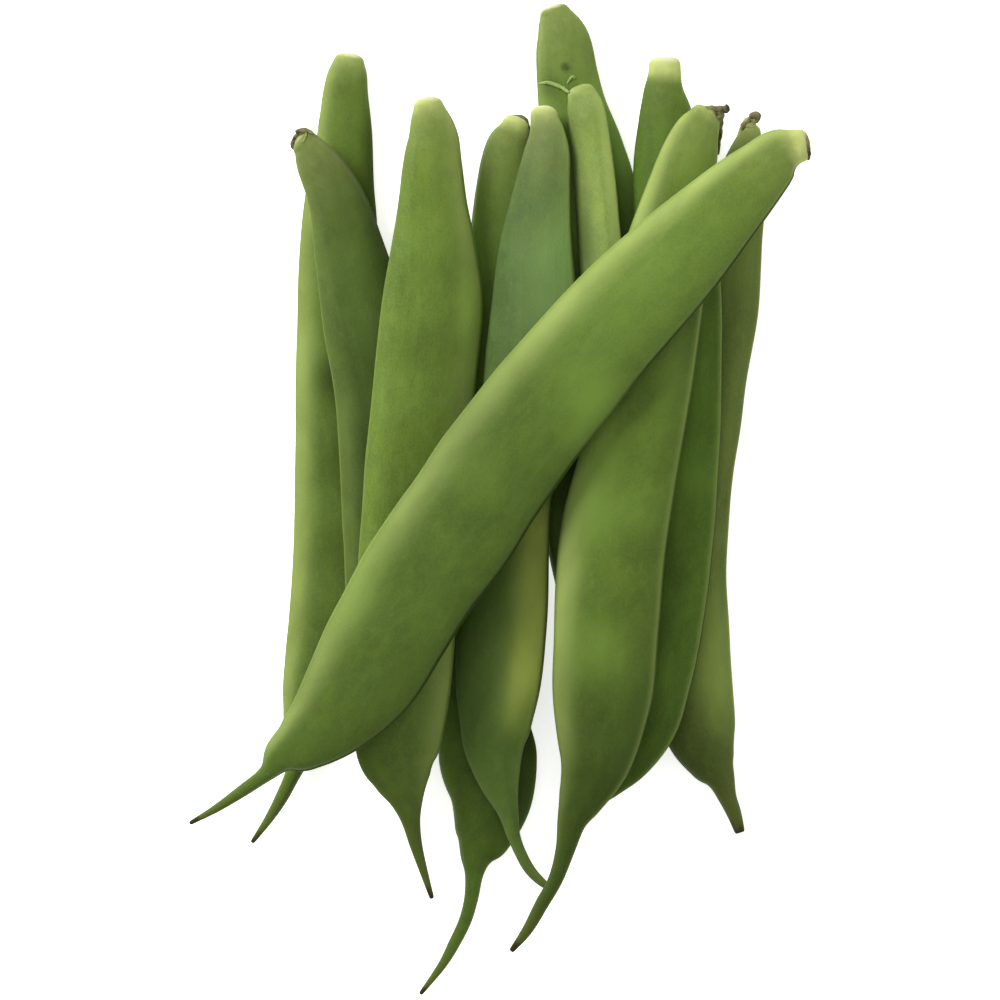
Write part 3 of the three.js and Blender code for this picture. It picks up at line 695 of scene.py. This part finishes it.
# The colour of each pod's face, and the one that it darkens to towards the beak, partly its own
#  deeper green and partly painted shade.
TONES = {
    "fresh": [(89, 112, 46), (38, 56, 16)],
    "spring": [(95, 118, 49), (48, 57, 19)],
    "green": [(84, 106, 46), (34, 44, 12)],
    "lime": [(83, 105, 41), (36, 50, 14)],
    "leaf": [(77, 100, 38), (41, 48, 20)],
    "deep": [(75, 100, 35), (36, 48, 13)],
    "olive": [(91, 106, 49), (46, 60, 20)],
    "dusk": [(69, 88, 38), (40, 52, 15)],
    "yellow": [(123, 144, 76), (60, 80, 28)],
    "blue": [(77, 98, 53), (78, 104, 18)],
}
# Painted light on the lit edges, and painted shade on the shaded edges and rims.
EDGE_PAINTED_LIGHT = paint(157, 174, 98)
EDGE_PAINTED_SHADE = paint(26, 38, 6)
# A painted highlight along the fold of a ridge.
RIDGE_HIGHLIGHT = paint(180, 196, 92)
SEAM_LIGHT = paint(142, 160, 84)
SEAM_SHARE = 0.26
STEM_END = paint(172, 181, 110)
STEM_CUT = paint(194, 194, 156)
TIP_OLIVE = paint(84, 92, 42)
TIP_BROWN = paint(48, 38, 22)
# The colour of the dark spots: blemishes and painted shadow.
MARK_AND_SHADOW = paint(44, 62, 16)
SPECKS = dict(spacing=1.5, radius=0.3, rarity=0.5)
SPECK_SHARE = 0.16
BLEMISH = paint(92, 86, 30)
BLEMISHES = dict(spacing=14.0, radius=0.7, rarity=0.78)
BLEMISH_SHARE = 0.4

# Shares of a pod's own colour.
LIGHTER, DARKER, YELLOWER = (1.3,) * 3, (0.74,) * 3, (1.18, 1.1, 0.8)
# Shares of the face colour for the painted light and the painted shade of the patches.
PATCH_LIGHT, SHADED = (2.0,) * 3, (0.35,) * 3

# Scales of noise, to a millimetre: along the pod, across it and up.
PATCHES = (0.05, 0.09, 0.09)
BLUSHES = (0.12, 0.19, 0.19)
MOTTLING = (0.3, 0.45, 0.45)
STREAKS = (0.04, 0.9, 0.9)
GRAIN = 2.2
WRINKLES = (0.8, 2.4, 2.4)
BLOTCHES = 0.9


def scaled(colour, shares):
    return (*(share * c for share, c in zip(shares, colour)), 1.0)


def pod_material(tone):
    face, deep_and_shaded_colour = (paint(*colour) for colour in TONES[tone])
    light, dark = scaled(face, LIGHTER), scaled(face, DARKER)
    material, tree, surface = shader_tree("skin_" + tone)
    skin = reading(tree, "skin", "Vector")

    patches = cloud(tree, skin, PATCHES, 2.0, 0.3)
    blushes = cloud(tree, skin, BLUSHES, 2.0, 0.5)
    mottle = cloud(tree, skin, MOTTLING, 3.0)
    streaks = cloud(tree, skin, STREAKS)
    grain = cloud(tree, skin, GRAIN, 3.0)
    uneven = ramp(tree, patches, 0.3, 0.7, 0.85, 1.15)
    edge_light_and_shade = times(tree, reading(tree, "edge_light_and_shade"), uneven)
    light_and_shade = times(tree, reading(tree, "light_and_shade"), uneven)
    ridge = times(tree, reading(tree, "ridge"), ramp(tree, patches, 0.3, 0.7, 0.6, 1.0))
    pale = times(tree, reading(tree, "pale"), ramp(tree, mottle, 0.3, 0.7, 0.85, 1.1))
    stir = ramp(tree, mottle, 0.3, 0.7, -1.0, 1.0)
    from_cut = calc(tree, "ADD", reading(tree, "from_stem"), times(tree, stir, 0.3))
    drying = calc(tree, "ADD", reading(tree, "from_tip"), stir)

    colour = blend_colour(tree, ramp(tree, patches, 0.3, 0.65), dark, face)
    colour = layered(tree, colour, [
        (ramp(tree, blushes, 0.45, 0.75, 0.0, 0.6), scaled(face, YELLOWER)),
        (ramp(tree, blushes, 0.48, 0.25, 0.0, 0.5), dark),
        (ramp(tree, mottle, 0.42, 0.75, 0.0, 0.4), light),
        (ramp(tree, streaks, 0.5, 0.85, 0.0, 0.2), light),
        (ramp(tree, grain, 0.4, 0.75, 0.0, 0.4), light),
        (ramp(tree, grain, 0.5, 0.3, 0.0, 0.34), dark),
        # Painted light and painted shade on the edges.
        (ramp(tree, edge_light_and_shade, 0.0, 1.0), EDGE_PAINTED_LIGHT),
        (ramp(tree, edge_light_and_shade, 0.0, -1.0), EDGE_PAINTED_SHADE),
        # Patches of painted light and painted shade.
        (ramp(tree, light_and_shade, 0.0, 1.0), scaled(face, PATCH_LIGHT)),
        (ramp(tree, light_and_shade, 0.0, -1.0), scaled(face, SHADED)),
        # Darker towards the beak: partly its own deeper green, partly painted shade.
        (reading(tree, "deep"), deep_and_shaded_colour),
        # Painted highlight along the ridge.
        (ridge, RIDGE_HIGHLIGHT),
        (times(tree, reading(tree, "seam"), SEAM_SHARE), SEAM_LIGHT),
        (times(tree, spots(tree, skin, **SPECKS), SPECK_SHARE), light),
        (times(tree, spots(tree, skin, **BLEMISHES), BLEMISH_SHARE), BLEMISH),
        # Dark spots: blemishes and painted shadow.
        (reading(tree, "mark_and_shadow"), MARK_AND_SHADOW),
        (pale, STEM_END),
        (ramp(tree, from_cut, 1.6, 0.4, 0.0, 0.85), STEM_CUT),
        (ramp(tree, drying, 16.0, 3.0, 0.0, 0.5), TIP_OLIVE),
        (ramp(tree, drying, 3.0, 0.6, 0.0, 0.9), TIP_BROWN),
    ])

    # Rougher where the edges carry painted shade.
    dull = ramp(tree, reading(tree, "edge_light_and_shade"), -0.2, -0.7, 0.0, 0.5)
    relief = calc(tree, "ADD", times(tree, grain, 0.6), times(tree, streaks, 0.5))
    set_inputs(tree, surface, {
        "Base Color": colour,
        "Roughness": calc(tree, "ADD", ramp(tree, mottle, 0.25, 0.75, 0.48, 0.6), dull),
        "Normal": bumped(tree, calc(tree, "ADD", relief, mottle), 0.5, 0.0002),
        "Specular IOR Level": 0.07,
        "Sheen Weight": 0.05,
        "Sheen Roughness": 0.5,
        "Sheen Tint": paint(220, 235, 130),
        "Subsurface Weight": 0.05,
        "Subsurface Radius": (0.9, 1.0, 0.3),
        "Subsurface Scale": 0.0015,
    })
    return material


DRIED_DARK = paint(56, 52, 34)
DRIED_BROWN = paint(108, 104, 72)
SCAR_TAN = paint(176, 170, 112)
SCAR_OLIVE = paint(136, 144, 84)
STRAND_PALE = paint(132, 154, 84)
STRAND_SHADE = paint(104, 126, 62)


def dried_material(name, fresh, body, dark):
    """Shrivelled tissue: `fresh` in colour where "dryness" is 0, and `body` to `dark` at 1."""
    material, tree, surface = shader_tree(name)
    skin = reading(tree, "skin", "Vector")
    wrinkles = cloud(tree, skin, WRINKLES, 4.0, 1.0)
    blotches = cloud(tree, skin, BLOTCHES)
    dried = blend_colour(tree, ramp(tree, blotches, 0.35, 0.65), dark, body)
    creased = ramp(tree, wrinkles, 0.3, 0.7, -0.2, 0.2)
    dryness = calc(tree, "ADD", reading(tree, "dryness"), creased)
    colour = layered(tree, fresh, [
        (ramp(tree, dryness, 0.15, 0.85), dried),
        # Darker in the hollows of the wrinkles: painted shade in the creases.
        (ramp(tree, wrinkles, 0.5, 0.3, 0.0, 0.5), dark),
    ])
    set_inputs(tree, surface, {
        "Base Color": colour,
        "Normal": bumped(tree, wrinkles, 0.7, 0.0003),
        "Roughness": 0.85,
        "Specular IOR Level": 0.2,
    })
    return material


FLOOR_GLOW = 0.7


def floor_material():
    material, tree, surface = shader_tree("pale_table")
    place = add(tree, "ShaderNodeTexCoord").outputs["Object"]
    tone = ramp(tree, cloud(tree, place, 9.0, 3.0), 0.3, 0.7)
    set_inputs(tree, surface, {
        "Base Color": blend_colour(tree, tone, paint(244, 244, 242), paint(248, 248, 247)),
        "Roughness": 0.85,
        "Specular IOR Level": 0.2,
        "Emission Color": (1.0, 1.0, 1.0, 1.0),
        "Emission Strength": FLOOR_GLOW,
    })
    return material


# ---------------------------------------------------------------- the bunch

def build_pods():
    skins = {node: skin_of(pod, number) for number, (node, pod) in enumerate(PODS.items())}
    shift = plan_shift(skins)
    materials = {tone: pod_material(tone) for tone in TONES}
    pods = {}
    for node, (points, readings) in skins.items():
        pod = PODS[node]
        placed = set_down(points, resting_plane(node, points, shift), shift)
        vertices, faces = capped(placed.reshape(-1, 3), len(placed), SIDES)
        piece = mesh_object("fine_" + node, vertices, faces, materials[pod["tone"]])
        for name, values in readings.items():
            add_values(piece.data, name, with_end_points(values))
        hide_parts(node)
        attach(piece, "root")
        pods[node] = placed
    return pods, shift


# ---------------------------------------------------------------- calyxes and strands

LOWEST = 0.02  # of any dried piece, above the surface that the bunch lies on
HEADING_LENGTH = 2.0  # over which the direction of a stem end is measured

CAP_RINGS = 14
CAP_SIDES = 72
CAP_LOBES = 0.06
CAP_FRILLS = 0.03
CAP_CRUMPLE = 0.2
CAP_CRUMPLE_SIZE = 1.1
CAP_THINNING = 0.45  # at the rim
CAP_DRIED = 0.85  # of its radius, from where it is wholly dry

STRAND_SIDES = 16
STRAND_STEPS = 12
STRAND_LEAST_RADIUS = 0.05
STRAND_END_SHARE = 0.02  # of the section, at its rounded ends
STRAND_CRUMPLE_SIZE = 0.9
STRAND_STEADY = (0.05, 0.02, 1.0)  # a direction that no open strand runs in
SKIN_RADIUS = 0.4  # of a strand, in the coordinates that its material reads

RING_POINTS = 24
RING_THINNEST = 0.35
RING_LEAST_DRY = 0.3


class StemEnd:
    """Gives points near the stem end of a pod, in millimetres."""

    def __init__(self, placed, shift, tilt_up=0.0, turn=0.0):
        centres = placed.mean(1) / MM
        self.shift = shift / MM
        self.centre = centres[0]
        gaps = np.linalg.norm(centres - self.centre, axis=1)
        ahead = self.centre - centres[np.argmin(np.abs(gaps - HEADING_LENGTH))]
        heading = math.atan2(ahead[1], ahead[0]) + math.radians(turn)
        rise = math.radians(tilt_up)
        flat = np.array([math.cos(heading), math.sin(heading), 0])
        self.out = flat * math.cos(rise) + np.array([0, 0, math.sin(rise)])
        self.side = np.array([flat[1], -flat[0], 0])
        self.up = np.cross(self.side, self.out)

    def at(self, out, side, up):
        """By how far it is outwards, to the right of somebody looking out, and up."""
        out, side, up = (np.asarray(v, dtype=float)[..., None] for v in (out, side, up))
        return self.centre + out * self.out + side * self.side + up * self.up

    def by(self, x, y, rise):
        """By its place in plan, as the stations give it, and its height over the stem end."""
        return [x + self.shift[0], y + self.shift[1], self.centre[2] + rise]


def dried_piece(name, shells, material):
    """One object of several closed shells, each given as points, faces, skin and dryness."""
    all_points, all_faces, skins, dryness = zip(*shells)
    points = np.maximum(np.vstack(all_points), [-np.inf, -np.inf, LOWEST])
    starts = np.cumsum([0, *(len(p) for p in all_points)]).tolist()
    faces = [tuple(start + i for i in f) for start, part in zip(starts, all_faces) for f in part]
    piece = mesh_object(name, points * MM, faces, material)
    add_values(piece.data, "skin", np.vstack(skins))
    add_values(piece.data, "dryness", np.concatenate(dryness))
    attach(piece, "root")
    return piece


def cap(stem_end, radius, crown, wrap, thickness, seed, flatness, heart, shift=(0, 0)):
    """A crumpled cap with a fresher heart, whose rim bends back round the stem end."""
    shares = np.arange(1, CAP_RINGS + 1) / CAP_RINGS
    angles = np.arange(CAP_SIDES) * 2 * math.pi / CAP_SIDES
    share, angle = np.meshgrid(shares, angles, indexing="ij")
    reach = 1 + CAP_LOBES * np.cos(5 * angle + seed) + CAP_FRILLS * np.cos(9 * angle + 2 * seed)
    across = radius * share * reach * np.cos(angle)
    up = flatness * radius * share * reach * np.sin(angle)
    flat = np.stack([across, up, 0 * across], -1)
    crumple = smooth_noise(flat.reshape(-1, 3), CAP_CRUMPLE_SIZE, seed).reshape(across.shape)
    outer = crown * (1 - share**2) - wrap * share**3 + crumple * CAP_CRUMPLE * share
    inner = outer - thickness * (1 - CAP_THINNING * share**2)
    place = across + shift[0], up + shift[1]
    grids = [stem_end.at(outer, *place), stem_end.at(inner, *place)[::-1]]
    middles = [stem_end.at(depth, *shift)[None] for depth in (crown, crown - thickness)]
    points = np.vstack([np.concatenate(grids).reshape(-1, 3), *middles])
    faces = turned(loft_faces(2 * CAP_RINGS, CAP_SIDES)) + end_fans(2 * CAP_RINGS, CAP_SIDES)
    skin = np.vstack([flat.reshape(-1, 3), flat[::-1].reshape(-1, 3), np.zeros((2, 3))])
    dry = smooth(share, heart, CAP_DRIED)
    return points, faces, skin, np.append(np.concatenate([dry, dry[::-1]]).ravel(), [0, 0])


def strand(through, seed, crumple, flatness=1.0, closed=False):
    """A thin tube through points given as x, y, z, radius and dryness."""
    through = np.array(through, dtype=float)
    if closed:
        padded = np.vstack([through[-1], through, through[:2]])
    else:
        padded = np.vstack([2 * through[0] - through[1], through, 2 * through[-1] - through[-2]])
    spans = [span_points(*padded[i:i + 4], STRAND_STEPS) for i in range(len(padded) - 3)]
    line = np.vstack(spans if closed else [*spans, padded[-2:-1]])
    centres = line[:, :3]
    if closed:
        along = np.roll(centres, -1, 0) - np.roll(centres, 1, 0)
        steady = centres.mean(0) - centres
    else:
        along = np.gradient(centres, axis=0)
        steady = np.array(STRAND_STEADY)
    along /= np.linalg.norm(along, axis=1, keepdims=True)
    across = np.cross(along, steady)
    across /= np.maximum(np.linalg.norm(across, axis=1, keepdims=True), 1e-6)
    up = np.cross(across, along)
    angles = np.arange(STRAND_SIDES) * 2 * math.pi / STRAND_SIDES
    run = np.concatenate([[0], np.cumsum(np.linalg.norm(np.diff(centres, axis=0), axis=1))])
    radius = np.clip(line[:, 3], STRAND_LEAST_RADIUS, None)
    if closed:
        spread, turn = run[-1] / 2 / math.pi, 2 * math.pi * run / run[-1]
        route = np.stack([spread * np.cos(turn), spread * np.sin(turn)], -1)
    else:
        from_end = np.clip(np.minimum(run, run[-1] - run) / radius, 0, 1)
        radius = radius * np.sqrt(np.clip(1 - (1 - from_end) ** 2, STRAND_END_SHARE, 1))
        route = np.stack([run, 0 * run], -1)
    beside = SKIN_RADIUS * np.cos(angles)[None, :, None] * np.array([0.0, 1.0])
    above = np.repeat(SKIN_RADIUS * np.sin(angles)[None, :, None], len(run), 0)
    route = np.repeat(route[:, None, :], STRAND_SIDES, 1)
    skin = np.concatenate([route + beside, above], -1)
    rough = smooth_noise(skin.reshape(-1, 3), STRAND_CRUMPLE_SIZE, seed).reshape(len(run), -1)
    radius = radius[:, None] * (1 + 2 * crumple * rough)
    grid = (
        line[:, None, :3]
        + across[:, None, :] * (radius * np.cos(angles))[..., None]
        + up[:, None, :] * (radius * flatness * np.sin(angles))[..., None]
    )
    dryness = np.repeat(np.clip(line[:, 4], 0, 1)[:, None], STRAND_SIDES, 1)
    if closed:
        total = len(run) * STRAND_SIDES
        faces = loft_faces(len(run) + 1, STRAND_SIDES)
        faces = [tuple(i % total for i in face) for face in faces]
        return grid.reshape(-1, 3), turned(faces), skin.reshape(-1, 3), dryness.ravel()
    points, faces = capped(grid.reshape(-1, 3), len(run), STRAND_SIDES)
    return points, turned(faces), with_end_points(skin), with_end_points(dryness)


def scar_ring(stem_end, half_sizes, out, radius, thickest, dryness, seed, shift=(0, 0), bulge=0.0):
    """A ring round a stem end, thickest at an angle from its right-hand side, in degrees."""
    points = []
    for step in range(RING_POINTS):
        angle = 2 * math.pi * step / RING_POINTS
        toward = 0.5 + 0.5 * math.cos(angle - math.radians(thickest))
        side = half_sizes[0] * math.cos(angle) + shift[0]
        up = half_sizes[1] * math.sin(angle) + shift[1]
        centre = stem_end.at(out + bulge * abs(math.sin(angle)), side, up)
        thick = radius * (RING_THINNEST + (1 - RING_THINNEST) * toward)
        dry = dryness * (RING_LEAST_DRY + (1 - RING_LEAST_DRY) * toward)
        points.append([*centre, thick, dry])
    return strand(points, seed, 0.2, closed=True)


def heap_tree(pods):
    """All fine pods as one tree, to find how high the heap is somewhere."""
    corners, faces = [], []
    for placed in pods.values():
        start = len(corners)
        corners += [Vector(p) for p in placed.reshape(-1, 3)]
        faces += [tuple(start + i for i in face) for face in loft_faces(len(placed), SIDES)]
    return BVHTree.FromPolygons(corners, faces)


def add_calyxes(pods, shift):
    tan = dried_material("dried_calyx_tan", SCAR_TAN, DRIED_BROWN, DRIED_DARK)
    olive = dried_material("dried_calyx_olive", SCAR_OLIVE, DRIED_BROWN, DRIED_DARK)
    pale = dried_material("pale_strand", STRAND_PALE, STRAND_PALE, STRAND_SHADE)

    def laid(end, seed, crumple, places, flatness=1.0):
        """A strand through places given as x, y, rise, radius and dryness."""
        through = [[*end.by(*place[:3]), *place[3:]] for place in places]
        return strand(through, seed, crumple, flatness)

    end = StemEnd(pods["pod_crossing"], shift)
    crossing = dried_piece("calyx_ring_crossing", [
        cap(end, 2.4, 0.2, 0.8, 0.5, 1.3, flatness=0.8, heart=0.8),
        scar_ring(end, (2.6, 1.75), -0.7, 0.5, 20, 1.0, 1.9, bulge=0.35),
        laid(end, 2.3, 0.25, [
            [61.3, 71.1, 1.2, 0.3, 0.6], [61.2, 70.0, 1.1, 0.55, 0.9],
            [60.8, 69.3, 0.9, 0.55, 1.0], [59.9, 68.9, 0.6, 0.3, 0.8],
        ]),
    ], tan)
    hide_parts("calyx_crossing")

    end = StemEnd(pods["pod_left_inner"], shift, tilt_up=32, turn=10)
    left_inner = dried_piece("calyx_ring_left_inner", [
        cap(end, 1.95, 0.15, 0.2, 0.6, 4.1, flatness=0.9, shift=(-0.1, 0.4), heart=0.75),
        scar_ring(end, (2.0, 1.7), 0.05, 0.5, 230, 1.0, 4.6, shift=(-0.1, 0.4)),
        laid(end, 4.9, 0.2, [
            [-41.0, 73.6, 0.5, 0.25, 0.7], [-40.0, 74.0, 0.8, 0.5, 0.8],
            [-38.6, 73.9, 0.9, 0.5, 0.6], [-37.3, 73.2, 0.8, 0.25, 0.3],
        ]),
    ], olive)
    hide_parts("calyx_left_inner")

    end = StemEnd(pods["pod_right_back"], shift, tilt_up=10)
    right_back = dried_piece("calyx_hook_right_back", [
        laid(end, 7.1, 0.15, [
            [49.7, 73.4, 0.2, 1.9, -0.2], [50.0, 74.6, 0.2, 1.7, 0.0], [50.3, 75.7, 0.2, 1.3, 0.1],
            [50.9, 76.6, 0.4, 0.95, 0.4], [51.6, 77.1, 0.6, 0.6, 0.8],
        ]),
        laid(end, 7.7, 0.35, [
            [49.9, 76.2, 0.9, 0.35, 0.6], [50.7, 76.9, 1.0, 0.6, 0.9], [51.5, 77.0, 1.0, 0.65, 1.0],
            [51.8, 76.3, 0.8, 0.5, 0.9], [51.3, 75.6, 0.6, 0.25, 0.7],
        ]),
        laid(end, 8.3, 0.45, [
            [48.4, 74.0, 1.3, 0.15, 0.3], [48.8, 74.7, 1.4, 0.42, 0.7],
            [49.3, 75.5, 1.4, 0.5, 0.8], [50.2, 76.4, 1.1, 0.4, 0.8],
        ]),
    ], olive)
    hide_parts("calyx_right_back")

    end = StemEnd(pods["pod_right_front"], shift, tilt_up=6)
    right_front = dried_piece("calyx_flag_right_front", [
        laid(end, 2.9, 0.1, [
            [41.4, 75.6, 0.3, 1.7, -0.2], [42.2, 76.8, 0.4, 1.75, -0.1],
            [42.9, 77.6, 0.5, 1.3, 0.3], [43.7, 77.9, 0.6, 0.8, 0.8],
        ]),
        laid(end, 3.1, 0.25, [
            [40.4, 78.4, 0.8, 0.2, 0.3], [41.8, 78.5, 1.2, 0.4, 0.6], [43.3, 78.3, 1.3, 0.65, 0.8],
            [44.7, 78.1, 1.3, 0.8, 0.9], [46.0, 78.1, 1.3, 0.85, 1.0],
        ], flatness=0.8),
        laid(end, 3.7, 0.2, [
            [43.5, 78.0, 1.1, 0.9, 0.6], [44.0, 77.0, 0.8, 0.95, 0.8], [44.1, 75.8, 0.5, 0.75, 0.9],
            [44.0, 74.2, 0.2, 0.52, 0.9], [43.9, 72.2, 0.0, 0.4, 0.8], [43.7, 69.0, 0.0, 0.2, 0.6],
        ]),
    ], olive)
    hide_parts("calyx_right_front")

    end = StemEnd(pods["pod_centre_long"], shift)
    dried_piece("calyx_rim_centre_long", [
        laid(end, 5.2, 0.2, [
            [1.2, 76.6, 0.3, 0.16, 0.2], [2.6, 77.0, 0.5, 0.32, 0.4], [4.1, 76.8, 0.6, 0.42, 0.7],
            [5.1, 76.1, 0.6, 0.46, 0.8], [5.6, 75.0, 0.6, 0.46, 0.75], [5.6, 73.8, 0.7, 0.42, 0.7],
            [5.3, 72.4, 0.8, 0.36, 0.6], [4.8, 70.8, 0.9, 0.18, 0.4],
        ]),
    ], olive)

    tree = heap_tree(pods)

    def over(x, y, rise):
        """In millimetres, a place at a height over the heap."""
        place = np.array([x, y]) * MM + shift
        return [*(place / MM), height_on(tree, *place) / MM + rise]

    threads = [[
        [7.8, 83.4, 0.1, 0.2], [9.2, 83.7, 0.3, 0.34], [10.8, 83.4, 0.5, 0.38],
        [12.4, 82.6, 0.6, 0.4], [13.9, 81.6, 0.3, 0.3],
    ], [
        [13.5, 83.4, 0.0, 0.16], [13.9, 84.2, 0.1, 0.26], [14.6, 84.8, 0.1, 0.32],
        [15.1, 84.4, 0.0, 0.2],
    ]]
    shells = [
        strand([[*over(*place[:3]), place[3], 0.0] for place in thread], seed, 0.2)
        for seed, thread in enumerate(threads, 9)
    ]
    dried_piece("pale_sepal_strands", shells, pale)


# ---------------------------------------------------------------- floor, light and camera

FLOOR_SIZE = 6.0
FLOOR_DROP = 0.0004
LIGHTS = [  # each as its name, place, size, power and colour
    ("window", (-0.46, 0.42, 0.50), 0.42, 7.4, (1.0, 0.985, 0.95)),
    ("ceiling", (-0.15, 0.25, 1.3), 0.9, 3.6, (1.0, 1.0, 0.98)),
    ("far_wall", (0.9, -0.1, 0.5), 0.9, 2.8, (1.0, 1.0, 0.98)),
]
ROOM_COLOUR = (1.0, 1.0, 0.97, 1.0)
ROOM_LIGHT = 0.35
CAMERA_DISTANCE = 4.0
SENSOR = 36.0
VIEW_WIDTH = 0.2  # what the picture shows from side to side, at VIEW_LEVEL
VIEW_LEVEL = 0.016


def add_floor():
    half = FLOOR_SIZE / 2
    corners = [(-half, -half), (half, -half), (half, half), (-half, half)]
    points = [(x, y, -FLOOR_DROP) for x, y in corners]
    floor = mesh_object("table_top", points, [(0, 1, 2, 3)], floor_material())


def light_scene():
    for name, place, size, power, colour in LIGHTS:
        data = bpy.data.lights.new(name, "AREA")
        data.shape = "DISK"
        data.size, data.energy, data.color = size, power, colour
        light = bpy.data.objects.new(name, data)
        light.location = place
        light.rotation_euler = (-Vector(place)).to_track_quat("-Z", "Y").to_euler()
        bpy.context.scene.collection.objects.link(light)
    world = bpy.data.worlds.new("pale_room")
    world.use_nodes = True
    background = world.node_tree.nodes["Background"]
    set_inputs(world.node_tree, background, {"Color": ROOM_COLOUR, "Strength": ROOM_LIGHT})
    bpy.context.scene.world = world
    bpy.context.scene.view_settings.view_transform = "Standard"


def add_camera(centre):
    data = bpy.data.cameras.new("camera")
    data.sensor_width = SENSOR
    data.lens = SENSOR * CAMERA_DISTANCE / VIEW_WIDTH
    data.clip_start, data.clip_end = 0.05, 50.0
    camera = bpy.data.objects.new("camera", data)
    camera.location = (centre[0], centre[1], VIEW_LEVEL + CAMERA_DISTANCE)
    bpy.context.scene.collection.objects.link(camera)
    bpy.context.scene.camera = camera


pods, plan_centre = build_pods()
add_calyxes(pods, plan_centre)
add_floor()
light_scene()
add_camera(plan_centre)
